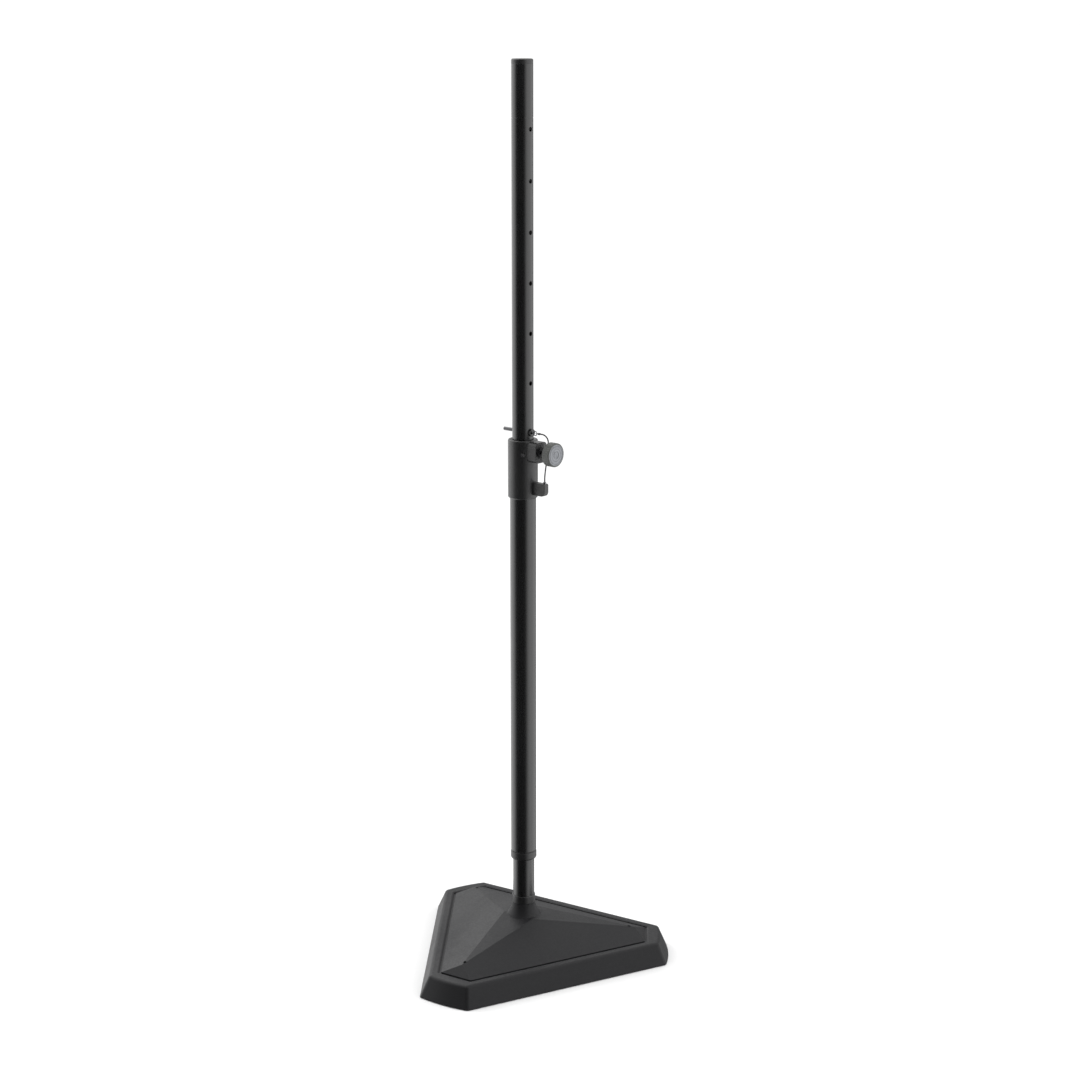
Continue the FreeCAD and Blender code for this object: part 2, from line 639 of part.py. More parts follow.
def clamp_collar():
    """The moulded collar on the lower tube's mouth, with the clamp's boss and the lanyard's lug."""
    body = cylinder(COLLAR_RADIUS, COLLAR_LOW, COLLAR_TOP)
    body = body.makeChamfer(COLLAR_BOTTOM_CHAMFER, circle_edges(body, COLLAR_RADIUS, COLLAR_LOW))
    body = body.makeFillet(COLLAR_TOP_ROUNDING, circle_edges(body, COLLAR_RADIUS, COLLAR_TOP))
    boss = rounded_arm(
        CLAMP_BOSS_REACH,
        CLAMP_BOSS_WIDTH,
        CLAMP_HEIGHT - CLAMP_BOSS_HALF_HEIGHT,
        CLAMP_HEIGHT + CLAMP_BOSS_HALF_HEIGHT,
        CLAMP_BOSS_ROUNDING,
    )
    collar = joined([body, turned(boss), turned(collar_lug())])
    screw_hole = rod(COLLAR_SCREW_RADIUS + SCREW_CLEARANCE, 0, COLLAR_RADIUS, COLLAR_SCREW_HEIGHT)
    screw_recess = rod(
        COLLAR_SCREW_HEAD_RADIUS + SCREW_CLEARANCE,
        COLLAR_RADIUS - COLLAR_SCREW_RECESS,
        COLLAR_RADIUS + CUT_PAST,
        COLLAR_SCREW_HEIGHT,
    )
    cuts = [
        cylinder(LOWER_TUBE_RADIUS + FIT, COLLAR_LOW, LOWER_TUBE_TOP),
        cylinder(MAST_RADIUS + COLLAR_MOUTH_GAP, LOWER_TUBE_TOP, COLLAR_TOP),
        turned(rod(PAD_HOLE_RADIUS, 0, INSERT_START, CLAMP_HEIGHT)),
        turned(rod(INSERT_RADIUS + FIT, INSERT_START, CLAMP_BOSS_REACH, CLAMP_HEIGHT)),
        turned(cylinder(ANCHOR_RADIUS + FIT, LUG_TOP - ANCHOR_DEPTH, LUG_TOP, ANCHOR_PLACE)),
        turned(screw_hole, COLLAR_SCREW_ANGLE),
        turned(screw_recess, COLLAR_SCREW_ANGLE),
    ]
    return without(collar, cuts)


def collar_screw():
    """The screw that pins the collar to the lower tube."""
    seat = COLLAR_RADIUS - COLLAR_SCREW_RECESS
    head = rod(COLLAR_SCREW_HEAD_RADIUS, seat, COLLAR_RADIUS - COLLAR_SCREW_SINK, COLLAR_SCREW_HEIGHT)
    shank = rod(COLLAR_SCREW_RADIUS, TUBE_BORE + FIT, seat, COLLAR_SCREW_HEIGHT)
    return turned(joined([head, shank]), COLLAR_SCREW_ANGLE)


def thread_insert():
    """The brass nut moulded into the clamp's boss, with a flange on the boss's end."""
    body = rod(INSERT_RADIUS, INSERT_START, CLAMP_BOSS_REACH, CLAMP_HEIGHT)
    end = CLAMP_BOSS_REACH + INSERT_FLANGE
    flange = rod(INSERT_RADIUS + INSERT_FLANGE_LIP, CLAMP_BOSS_REACH, end, CLAMP_HEIGHT)
    bore = rod(STUD_RADIUS + FIT, INSERT_START, end, CLAMP_HEIGHT)
    return turned(joined([body, flange]).cut(bore))


def thrust_pad():
    """The pad that the screw presses on the mast."""
    return turned(rod(PAD_RADIUS, MAST_RADIUS + PAD_GAP, STUD_START, CLAMP_HEIGHT))


def clamp_stud():
    """The threaded rod, with thread-like rings on the stretch between boss and knob."""
    stud = rod(STUD_RADIUS, STUD_START, STUD_END, CLAMP_HEIGHT)
    start = KNOB_HUB_START - STUD_THREAD_TURNS * STUD_PITCH
    for k in range(STUD_THREAD_TURNS):
        place = start + k * STUD_PITCH
        blank = rod(STUD_RADIUS + CUT_PAST, place, place + STUD_PITCH / 2, CLAMP_HEIGHT)
        core = rod(STUD_RADIUS - STUD_THREAD_DEPTH, place, place + STUD_PITCH / 2, CLAMP_HEIGHT)
        stud = stud.cut(blank.cut(core))
    return turned(stud)


def knob_body():
    """The grip, with shallow flutes round its rim, a hub towards the boss and a seat for the face disc."""
    grip = rod(KNOB_RADIUS, KNOB_BACK, KNOB_FRONT, CLAMP_HEIGHT)
    rim = [e for e in grip.Edges if isinstance(e.Curve, Part.Circle)]
    grip = grip.makeFillet(KNOB_ROUNDING, rim)
    hub = rod(STUD_RADIUS + KNOB_HUB_WALL, KNOB_HUB_START, KNOB_BACK, CLAMP_HEIGHT)
    knob = joined([grip, hub])
    for k in range(KNOB_GRIP_COUNT):
        angle = math.radians(360 * k / KNOB_GRIP_COUNT)
        reach = KNOB_RADIUS + KNOB_GRIP_RADIUS / 2
        place = Vector(KNOB_BACK - CUT_PAST, reach * math.cos(angle), CLAMP_HEIGHT + reach * math.sin(angle))
        length = KNOB_THICKNESS + 2 * CUT_PAST
        knob = knob.cut(Part.makeCylinder(KNOB_GRIP_RADIUS, length, place, Vector(1, 0, 0)))
    bore = rod(STUD_RADIUS + FIT, KNOB_HUB_START, STUD_END, CLAMP_HEIGHT)
    seat = rod(KNOB_FACE_RADIUS + FIT, KNOB_FRONT - KNOB_FACE_THICKNESS, KNOB_FRONT, CLAMP_HEIGHT)
    return turned(without(knob, [bore, seat]))


def knob_face():
    """The metal disc in the knob's front, with plain turned rings."""
    disc = rod(KNOB_FACE_RADIUS, KNOB_FRONT - KNOB_FACE_THICKNESS, KNOB_FRONT, CLAMP_HEIGHT)
    for inwards in KNOB_FACE_RINGS:
        radius = KNOB_FACE_RADIUS - inwards
        start = KNOB_FRONT - KNOB_FACE_RING_DEPTH
        outer = rod(radius + KNOB_FACE_RING_WIDTH / 2, start, KNOB_FRONT, CLAMP_HEIGHT)
        inner = rod(radius - KNOB_FACE_RING_WIDTH / 2, start, KNOB_FRONT, CLAMP_HEIGHT)
        disc = disc.cut(outer.cut(inner))
    return turned(disc)


# ---------------------------------------------------------------- mast


def mast_tube():
    """The sliding tube, with a row of cross holes and a rolled depth line below the speaker's seat."""
    pipe = tube(MAST_RADIUS, MAST_RADIUS - TUBE_WALL, MAST_BOTTOM, MAST_TOP)
    reach = MAST_RADIUS + CUT_PAST
    for k in range(-HOLES_BELOW_PIN, HOLES_ABOVE_PIN + 1):
        hole = rod(PIN_RADIUS + HOLE_CLEARANCE, -reach, reach, PIN_HEIGHT + k * HOLE_PITCH)
        pipe = pipe.cut(turned(hole))
    line_low = MAST_TOP - SEAT_DEPTH
    line = tube(reach, MAST_RADIUS - DEPTH_LINE_DEPTH, line_low, line_low + DEPTH_LINE_WIDTH)
    return pipe.cut(line)


def mast_cap():
    """The plastic cap in the mast's top end."""
    head = cylinder(MAST_RADIUS - FIT, MAST_TOP, MAST_TOP + CAP_HEIGHT)
    head = head.makeFillet(CAP_ROUNDING, circle_edges(head, MAST_RADIUS - FIT, MAST_TOP + CAP_HEIGHT))
    plug = cylinder(MAST_RADIUS - TUBE_WALL - FIT, MAST_TOP - CAP_PLUG, MAST_TOP)
    return joined([head, plug])


def mast_glide():
    """The bush on the mast's bottom end that rides in the lower tube."""
    sleeve = tube(TUBE_BORE - SLIDE_FIT, MAST_RADIUS + FIT, MAST_BOTTOM, MAST_BOTTOM + GLIDE_LENGTH)
    lip = tube(TUBE_BORE - SLIDE_FIT, MAST_RADIUS - TUBE_WALL, MAST_BOTTOM - GLIDE_LIP, MAST_BOTTOM)
    return joined([sleeve, lip])


# ---------------------------------------------------------------- locking pin and lanyard


def pin_shaft():
    """The steel pin through the mast, with its outer end flattened for an eye."""
    shaft = rod(PIN_RADIUS, PIN_TIP, PIN_END, PIN_HEIGHT)
    ends = [e for e in shaft.Edges if isinstance(e.Curve, Part.Circle)]
    shaft = shaft.makeChamfer(PIN_TIP_CHAMFER, ends)
    eye = cylinder(PIN_EYE_RADIUS, PIN_HEIGHT - PIN_RADIUS, PIN_HEIGHT + PIN_RADIUS, PIN_EYE)
    removed = PIN_RADIUS - PIN_TONGUE_THICKNESS / 2
    length = PIN_END - PIN_TONGUE_START
    corner = Vector(PIN_TONGUE_START, -PIN_RADIUS, PIN_HEIGHT + PIN_TONGUE_THICKNESS / 2)
    above = Part.makeBox(length, 2 * PIN_RADIUS, removed, corner)
    below = above.mirror(Vector(0, 0, PIN_HEIGHT), UP)
    return turned(without(shaft, [eye, above, below]))


def pin_head():
    """The moulded stop that keeps the pin from going too far in."""
    start = MAST_RADIUS + PIN_HEAD_GAP
    disc = rod(PIN_HEAD_RADIUS, start, start + PIN_HEAD_THICKNESS, PIN_HEIGHT)
    return turned(disc.cut(rod(PIN_RADIUS + FIT, start, start + PIN_HEAD_THICKNESS, PIN_HEIGHT)))


def pin_ring():
    """The ring in the pin's eye."""
    return turned(
        Part.makeTorus(RING_RADIUS, RING_WIRE, Vector(PIN_EYE + RING_RADIUS, 0, PIN_HEIGHT), Vector(0, 1, 0))
    )


def cable_point(point):
    """One of the lanyard's points, as a distance from the pole's axis, an offset and a height."""
    return Vector(COLLAR_RADIUS + point[0], point[1], COLLAR_TOP + point[2])


def cable(points, diameter):
    """A round cable along straight runs joined by arcs, each arc as large as its two runs allow."""
    route = [cable_point(p) for p in points]
    edges = []
    radii = []
    start = route[0]
    for before, corner, after in zip(route, route[1:], route[2:]):
        into = (corner - before).normalize()
        out = (after - corner).normalize()
        half_turn = into.getAngle(out) / 2
        reach = ARC_SHARE * min(before.distanceToPoint(corner), corner.distanceToPoint(after))
        radius = reach / math.tan(half_turn)
        enter = corner - into * reach
        leave = corner + out * reach
        inward = (out - into).normalize()
        middle = corner + inward * (radius / math.cos(half_turn) - radius)
        edges.append(Part.LineSegment(start, enter).toShape())
        edges.append(Part.Arc(enter, middle, leave).toShape())
        radii.append(round(radius, 1))
        start = leave
    edges.append(Part.LineSegment(start, route[-1]).toShape())
    path = Part.Wire(edges)
    first = (route[1] - route[0]).normalize()
    section = Part.Wire(Part.Circle(route[0], first, diameter / 2).toShape())
    body = path.makePipeShell([section], True, False)
    expected = math.pi * diameter**2 / 4 * path.Length
    print("cable radii", radii, "length", round(path.Length, 1))
    print("cable volume", round(body.Volume, 1), "section times length", round(expected, 1))
    return turned(body)


def lanyard_anchor():
    """The metal sleeve in the lug's top that the cable comes out of."""
    return turned(cylinder(ANCHOR_RADIUS, LUG_TOP - ANCHOR_DEPTH, LUG_TOP + ANCHOR_STAND, ANCHOR_PLACE))


def lanyard_ferrule():
    """The crimped ferrule at the cable's other end, with an eye round the pin's ring."""
    end = cable_point(LANYARD_UPPER[-1])
    along = (end - cable_point(LANYARD_UPPER[-2])).normalize()
    ring_far_side = PIN_EYE + 2 * RING_RADIUS
    eye_centre = Vector(ring_far_side - RING_WIRE - EYE_WIRE - LINK_GAP + EYE_RADIUS, 0, PIN_HEIGHT)
    eye = Part.makeTorus(EYE_RADIUS, EYE_WIRE, eye_centre, UP)
    start = eye_centre + Vector(EYE_RADIUS, 0, 0)
    barrel_length = (start - end).dot(along)
    barrel = Part.makeCylinder(FERRULE_RADIUS, barrel_length, end, along)
    return turned(joined([eye, barrel]))


save("base_shell", base_shell())
save("base_weight", base_weight())
save("bottom_plate", bottom_plate())
save("rubber_mat", rubber_mat())
save("plate_screws", plate_screws())
save("cover_screws", cover_screws())
save("post_flange", post_flange())
save("flange_bolts", flange_bolts())
save("base_post", base_post())
save("foot_ring", foot_ring())
save("reducer_bush", reducer_bush())
save("lower_tube", lower_tube())
save("collar_bush", collar_bush())
save("clamp_collar", clamp_collar())
save("collar_screw", collar_screw())
save("thread_insert", thread_insert())
save("thrust_pad", thrust_pad())
save("clamp_stud", clamp_stud())
save("knob_body", knob_body())
save("knob_face", knob_face())
save("mast_tube", mast_tube())
save("mast_cap", mast_cap())
save("mast_glide", mast_glide())
save("pin_shaft", pin_shaft())
save("pin_head", pin_head())
save("pin_ring", pin_ring())
save("lanyard_anchor", lanyard_anchor())
save("lanyard_ferrule", lanyard_ferrule())
save("lanyard_lower", cable(LANYARD_LOWER, CABLE_DIAMETER))
save("lanyard_upper", cable(LANYARD_UPPER, CABLE_DIAMETER))
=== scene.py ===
import math

import bpy
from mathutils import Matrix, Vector


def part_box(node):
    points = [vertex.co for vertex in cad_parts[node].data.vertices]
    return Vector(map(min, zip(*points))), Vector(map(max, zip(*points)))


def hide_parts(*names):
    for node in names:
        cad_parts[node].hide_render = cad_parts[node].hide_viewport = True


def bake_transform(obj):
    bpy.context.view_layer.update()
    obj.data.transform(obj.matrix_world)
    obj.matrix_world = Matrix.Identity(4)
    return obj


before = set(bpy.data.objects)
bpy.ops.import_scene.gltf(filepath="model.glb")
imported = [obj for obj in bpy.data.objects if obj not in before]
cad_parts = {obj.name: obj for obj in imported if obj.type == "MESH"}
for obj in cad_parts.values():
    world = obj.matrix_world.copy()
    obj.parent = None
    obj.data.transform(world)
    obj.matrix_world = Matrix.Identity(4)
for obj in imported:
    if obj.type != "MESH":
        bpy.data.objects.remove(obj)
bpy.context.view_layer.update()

# ---------------------------------------------------------------- camera

# Its place, direction and lens were fitted to the outlines in the photograph.
camera_data = bpy.data.cameras.new("camera")
camera_data.lens = 74.05
camera_data.sensor_width = 36.0
camera = bpy.data.objects.new("camera", camera_data)
camera.location = (-1.644, -3.171, 1.6226)
camera.rotation_euler = (math.radians(76.06), 0, math.radians(-27.855))
bpy.context.scene.collection.objects.link(camera)
bpy.context.scene.camera = camera

# ---------------------------------------------------------------- directions and places

# Lengths are in metres. The clamp, the pin and the mast's holes lie in one upright plane.
# OUT points from the pole's axis to the knob.
CLAMP_ANGLE = math.radians(-69.0)
OUT = Vector((math.cos(CLAMP_ANGLE), math.sin(CLAMP_ANGLE), 0))
SIDE = Vector((-OUT.y, OUT.x, 0))
UP = Vector((0, 0, 1))
COLLAR_RADIUS = 0.0246
COLLAR_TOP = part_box("clamp_collar")[1].z
KNOB_CENTRE = (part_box("knob_body")[0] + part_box("knob_body")[1]) / 2
PIN_HEIGHT = (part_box("pin_head")[0].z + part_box("pin_head")[1].z) / 2
PIN_CENTRE = UP * PIN_HEIGHT
POLE_FOOT = Vector((0, 0, 0))


def near_collar(points):
    """Points given as (out from the collar's side, sideways, up from the collar's top)."""
    return [
        OUT * (COLLAR_RADIUS + out) + SIDE * sideways + UP * (COLLAR_TOP + up)
        for out, sideways, up in points
    ]


# ---------------------------------------------------------------- materials

BEVEL_SAMPLES = 6


class Nodes:
    """A material's node tree, with short ways to add to it."""

    def __init__(self, name):
        self.material = bpy.data.materials.new(name)
        self.material.use_nodes = True
        self.tree = self.material.node_tree
        self.shader = self.tree.nodes["Principled BSDF"]
        self.place = self.add("ShaderNodeTexCoord").outputs["Object"]

    def add(self, kind, **settings):
        node = self.tree.nodes.new(kind)
        for key, value in settings.items():
            setattr(node, key, value)
        return node

    def join(self, source, socket):
        self.tree.links.new(source, socket)

    def math(self, operation, a, b):
        """One step of arithmetic on two sockets or numbers."""
        node = self.add("ShaderNodeMath", operation=operation)
        for socket, value in zip(node.inputs, (a, b)):
            if isinstance(value, (int, float)):
                socket.default_value = value
            else:
                self.join(value, socket)
        return node.outputs[0]

    def vector(self, operation, a, b=None):
        """The node of one vector step, on sockets or fixed vectors."""
        node = self.add("ShaderNodeVectorMath", operation=operation)
        for socket, value in zip(node.inputs, (a, b)):
            if isinstance(value, (tuple, Vector)):
                socket.default_value = value
            elif value is not None:
                self.join(value, socket)
        return node

    def stretched(self, scale):
        """The surface's own coordinates, scaled by a different number along each axis."""
        node = self.add("ShaderNodeMapping", vector_type="TEXTURE")
        node.inputs["Scale"].default_value = [1 / s for s in scale]
        self.join(self.place, node.inputs["Vector"])
        return node.outputs[0]

    def noise(self, scale, detail, roughness=0.5, place=None, distortion=0.0):
        """Soft random cloud, around 0.5."""
        node = self.add("ShaderNodeTexNoise")
        node.inputs["Scale"].default_value = scale
        node.inputs["Detail"].default_value = detail
        node.inputs["Roughness"].default_value = roughness
        node.inputs["Distortion"].default_value = distortion
        self.join(place or self.place, node.inputs["Vector"])
        return node.outputs["Fac"]

    def grains(self, scale):
        """The node of a pattern of closely packed grains."""
        node = self.add("ShaderNodeTexVoronoi")
        node.inputs["Scale"].default_value = scale
        self.join(self.place, node.inputs["Vector"])
        return node

    def spread(self, value, low, high, start=0.3, end=0.7):
        """A value that runs from start to end, made to run from low to high."""
        node = self.add("ShaderNodeMapRange", clamp=True)
        self.join(value, node.inputs["Value"])
        ends = {"From Min": start, "From Max": end, "To Min": low, "To Max": high}
        for name, number in ends.items():
            node.inputs[name].default_value = number
        return node.outputs["Result"]

    def mix(self, share, a, b):
        """Colour a at share 0, colour b at share 1."""
        node = self.add("ShaderNodeMix", data_type="RGBA")
        self.join(share, node.inputs["Factor"])
        for socket, value in ((node.inputs[6], a), (node.inputs[7], b)):
            if isinstance(value, tuple):
                socket.default_value = (*value, 1)
            else:
                self.join(value, socket)
        return node.outputs[2]

    def edges(self, width):
        """1 along sharp edges and 0 on flat ground."""
        soft = self.add("ShaderNodeBevel", samples=BEVEL_SAMPLES)
        soft.inputs["Radius"].default_value = width
        hard = self.add("ShaderNodeNewGeometry")
        likeness = self.vector("DOT_PRODUCT", soft.outputs["Normal"], hard.outputs["Normal"])
        return self.spread(likeness.outputs["Value"], 1.0, 0.0, start=0.86, end=0.995)

    def relief(self, height, depth, strength, over=None, rounding=0.0):
        """Bump on top of any earlier bump, or on edges that are rounded a little."""
        node = self.add("ShaderNodeBump")
        node.inputs["Distance"].default_value = depth
        node.inputs["Strength"].default_value = strength
        self.join(height, node.inputs["Height"])
        if over is not None:
            self.join(over, node.inputs["Normal"])
        elif rounding:
            soft = self.add("ShaderNodeBevel", samples=BEVEL_SAMPLES)
            soft.inputs["Radius"].default_value = rounding
            self.join(soft.outputs["Normal"], node.inputs["Normal"])
        return node.outputs["Normal"]

    def set(self, **values):
        """Give the shader's inputs, with _ for a space in a name, and get the finished material."""
        for name, value in values.items():
            socket = self.shader.inputs[name.replace("_", " ")]
            if isinstance(value, bpy.types.NodeSocket):
                self.join(value, socket)
            elif isinstance(value, tuple):
                socket.default_value = (*value, 1)
            else:
                socket.default_value = value
        return self.material


def powder_coat():
    """Black paint baked on steel: a fine orange peel, a little dust, rubbed edges."""
    n = Nodes("powder_coat")
    dust = n.noise(9, 5, 0.6)
    dusty = n.spread(dust, 0, 1, start=0.35, end=0.8)
    colour = n.mix(dusty, (0.0018, 0.0018, 0.0022), (0.0045, 0.0045, 0.0052))
    all_edges = n.edges(0.0008)
    patches = n.spread(n.noise(70, 4), 0, 1, start=0.45, end=0.7)
    rubbed = n.math("MULTIPLY", all_edges, patches)
    colour = n.mix(n.math("MULTIPLY", rubbed, 0.5), colour, (0.06, 0.06, 0.063))
    streaks = n.noise(14, 4, 0.6, n.stretched((30, 30, 2.5)))
    rough = n.math("ADD", n.spread(streaks, 0.25, 0.33), n.spread(n.noise(500, 2), -0.02, 0.03))
    peel = n.relief(n.noise(1400, 2, 0.4), 0.00005, 0.55, rounding=0.0005)
    return n.set(Base_Color=colour, Roughness=rough, Normal=peel, Specular_IOR_Level=1.0)


def moulded(name, dark, light, grain=1500, depth=0.00012, low=0.5, high=0.62, specular=0.35):
    """Black moulded plastic with a fine stipple, a soft bloom and paler edges."""
    n = Nodes(name)
    bloom = n.noise(7, 6, 0.62, distortion=0.4)
    colour = n.mix(n.spread(bloom, 0, 1, start=0.3, end=0.75), dark, light)
    fleck = n.spread(n.noise(420, 3, 0.6), 0, 0.35, start=0.55, end=0.75)
    colour = n.mix(fleck, colour, tuple(c * 1.7 for c in light))
    all_edges = n.edges(0.0012)
    patches = n.spread(n.noise(45, 5), 0.15, 1, start=0.4, end=0.7)
    rubbed = n.math("MULTIPLY", all_edges, patches)
    colour = n.mix(n.math("MULTIPLY", rubbed, 0.5), colour, tuple(c * 4 for c in light))
    rough = n.math("ADD", n.spread(bloom, low, high), n.spread(n.noise(260, 3), -0.04, 0.04))
    stipple = n.relief(n.grains(grain).outputs["Distance"], depth, 0.5, rounding=0.0007)
    finer = n.relief(n.noise(grain * 1.7, 2), depth * 0.6, 0.4, over=stipple)
    return n.set(Base_Color=colour, Roughness=rough, Normal=finer, Specular_IOR_Level=specular)


def turned_metal(name, dark, light, centre, axis, rough=0.3, lines=2600):
    """Metal from a lathe: fine lines round an axis."""
    n = Nodes(name)
    offset = n.vector("SUBTRACT", n.place, tuple(centre)).outputs[0]
    along = n.vector("DOT_PRODUCT", offset, tuple(axis)).outputs["Value"]
    scaled = n.vector("SCALE", tuple(axis))
    n.join(along, scaled.inputs["Scale"])
    from_axis = n.vector("SUBTRACT", offset, scaled.outputs[0]).outputs[0]
    radial = n.vector("LENGTH", from_axis).outputs["Value"]
    turn = n.add("ShaderNodeCombineXYZ")
    n.join(radial, turn.inputs[0])
    n.join(along, turn.inputs[1])
    ring = n.noise(lines, 2, 0.6, turn.outputs[0])
    stain = n.noise(160, 5, 0.6)
    colour = n.mix(n.spread(ring, 0, 1), dark, light)
    stained = n.spread(stain, 0, 0.4, start=0.5, end=0.8)
    colour = n.mix(stained, colour, tuple(c * 0.6 for c in dark))
    uneven = n.spread(ring, rough - 0.05, rough + 0.08)
    roughness = n.math("ADD", uneven, n.spread(stain, -0.03, 0.08))
    lines_cut = n.relief(ring, 0.00002, 0.6, rounding=0.0002)
    return n.set(Base_Color=colour, Metallic=1.0, Roughness=roughness, Normal=lines_cut)


def knob_plastic():
    """Grey moulded grip, slightly satin."""
    n = Nodes("knob_plastic")
    cloud = n.noise(60, 5, 0.6)
    colour = n.mix(n.spread(cloud, 0, 1), (0.05, 0.053, 0.05), (0.075, 0.079, 0.073))
    all_edges = n.edges(0.0006)
    patches = n.spread(n.noise(220, 4), 0.2, 1, start=0.4, end=0.7)
    rubbed = n.math("MULTIPLY", all_edges, patches)
    colour = n.mix(n.math("MULTIPLY", rubbed, 0.5), colour, (0.17, 0.175, 0.165))
    return n.set(
        Base_Color=colour,
        Roughness=n.spread(cloud, 0.36, 0.48),
        Normal=n.relief(n.noise(2600, 2), 0.00005, 0.5, rounding=0.0004),
    )


def cable_jacket():
    """Smooth black jacket over wire rope, dulled by handling."""
    n = Nodes("cable_jacket")
    cloud = n.noise(140, 5, 0.6)
    colour = n.mix(n.spread(cloud, 0, 1), (0.005, 0.005, 0.0055), (0.013, 0.013, 0.0135))
    return n.set(
        Base_Color=colour,
        Roughness=n.spread(cloud, 0.4, 0.55),
        Normal=n.relief(n.noise(3000, 2), 0.00004, 0.5),
    )


def rubber():
    """Ribbed black rubber with dust in it."""
    n = Nodes("mat_rubber")
    dust = n.noise(30, 6, 0.65)
    dusty = n.spread(dust, 0, 1, start=0.4, end=0.8)
    colour = n.mix(dusty, (0.012, 0.012, 0.012), (0.04, 0.039, 0.037))
    ribs = n.add("ShaderNodeTexWave", wave_type="BANDS", bands_direction="X", wave_profile="SIN")
    ribs.inputs["Scale"].default_value = 55
    n.join(n.place, ribs.inputs["Vector"])
    waves = n.relief(ribs.outputs["Fac"], 0.0006, 0.8)
    pores = n.relief(n.noise(1500, 3), 0.00008, 0.5, over=waves)
    return n.set(Base_Color=colour, Roughness=n.spread(dust, 0.72, 0.9), Normal=pores)


def cast_iron():
    """Rough dark casting."""
    n = Nodes("cast_iron")
    lumps = n.noise(160, 6, 0.65)
    colour = n.mix(n.spread(lumps, 0, 1), (0.035, 0.033, 0.032), (0.09, 0.085, 0.08))
    rust = n.spread(n.noise(25, 6, 0.7), 0, 0.6, start=0.55, end=0.75)
    colour = n.mix(rust, colour, (0.13, 0.06, 0.03))
    relief = n.relief(lumps, 0.0006, 0.7, rounding=0.001)
    rough = n.spread(lumps, 0.6, 0.8)
    return n.set(Base_Color=colour, Metallic=0.4, Roughness=rough, Normal=relief)


def zinc():
    """Zinc-plated sheet: pale crystals and drawn scratches."""
    n = Nodes("zinc_sheet")
    shade = n.add("ShaderNodeSeparateColor")
    n.join(n.grains(130).outputs["Color"], shade.inputs[0])
    colour = n.mix(shade.outputs[0], (0.4, 0.41, 0.43), (0.6, 0.61, 0.63))
    scratch = n.noise(30, 4, 0.6, n.stretched((60, 3, 60)))
    return n.set(
        Base_Color=colour,
        Metallic=1.0,
        Roughness=n.spread(scratch, 0.3, 0.48),
        Normal=n.relief(scratch, 0.00004, 0.5, rounding=0.0004),
    )


def nylon():
    """Milky moulded nylon with faint flow lines."""
    n = Nodes("nylon")
    flow = n.noise(20, 5, 0.6, n.stretched((6, 6, 40)))
    colour = n.mix(n.spread(flow, 0, 1), (0.62, 0.6, 0.54), (0.75, 0.74, 0.69))
    return n.set(
        Base_Color=colour,
        Roughness=n.spread(flow, 0.35, 0.5),
        Normal=n.relief(n.noise(1200, 2), 0.00005, 0.4, rounding=0.0003),
    )


# Each finish, and the CAD nodes that have it.
FINISHES = [
    (
        moulded("base_plastic", (0.007, 0.007, 0.0082), (0.0115, 0.0115, 0.013)),
        ["base_shell"],
    ),
    (
        moulded(
            "fitting_plastic",
            (0.004, 0.004, 0.0046),
            (0.0075, 0.0075, 0.0085),
            grain=2600,
            depth=0.00006,
            low=0.38,
            high=0.48,
            specular=0.9,
        ),
        ["foot_ring", "reducer_bush", "clamp_collar", "mast_cap", "pin_head"],
    ),
    (
        powder_coat(),
        ["base_post", "lower_tube", "mast_tube", "post_flange"],
    ),
    (
        turned_metal(
            "pin_steel", (0.1, 0.1, 0.105), (0.19, 0.19, 0.195), PIN_CENTRE, OUT, rough=0.36
        ),
        ["pin_shaft", "pin_ring"],
    ),
    (
        turned_metal("stud_steel", (0.3, 0.3, 0.31), (0.5, 0.5, 0.51), KNOB_CENTRE, OUT),
        ["clamp_stud", "collar_screw"],
    ),
    (
        turned_metal(
            "disc_aluminium",
            (0.13, 0.135, 0.145),
            (0.34, 0.35, 0.37),
            KNOB_CENTRE,
            OUT,
            rough=0.34,
            lines=1900,
        ),
        ["knob_face"],
    ),
    (
        turned_metal(
            "crimp_aluminium", (0.2, 0.2, 0.21), (0.36, 0.36, 0.37), PIN_CENTRE, OUT, rough=0.38
        ),
        ["lanyard_anchor", "lanyard_ferrule"],
    ),
    (
        turned_metal(
            "base_screws",
            (0.3, 0.3, 0.31),
            (0.5, 0.5, 0.51),
            POLE_FOOT,
            UP,
            rough=0.35,
            lines=900,
        ),
        ["plate_screws", "flange_bolts"],
    ),
    (
        moulded(
            "black_oxide",
            (0.008, 0.008, 0.009),
            (0.016, 0.016, 0.017),
            grain=3000,
            depth=0.00004,
            low=0.3,
            high=0.42,
        ),
        ["cover_screws", "thread_insert"],
    ),
    (knob_plastic(), ["knob_body"]),
    (rubber(), ["rubber_mat"]),
    (cast_iron(), ["base_weight"]),
    (zinc(), ["bottom_plate"]),
    (nylon(), ["collar_bush", "mast_glide", "thrust_pad"]),
]
for finish, names in FINISHES:
    for name in names:
        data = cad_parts[name].data
        data.materials.clear()
        data.materials.append(finish)

# ---------------------------------------------------------------- the pin's lanyard

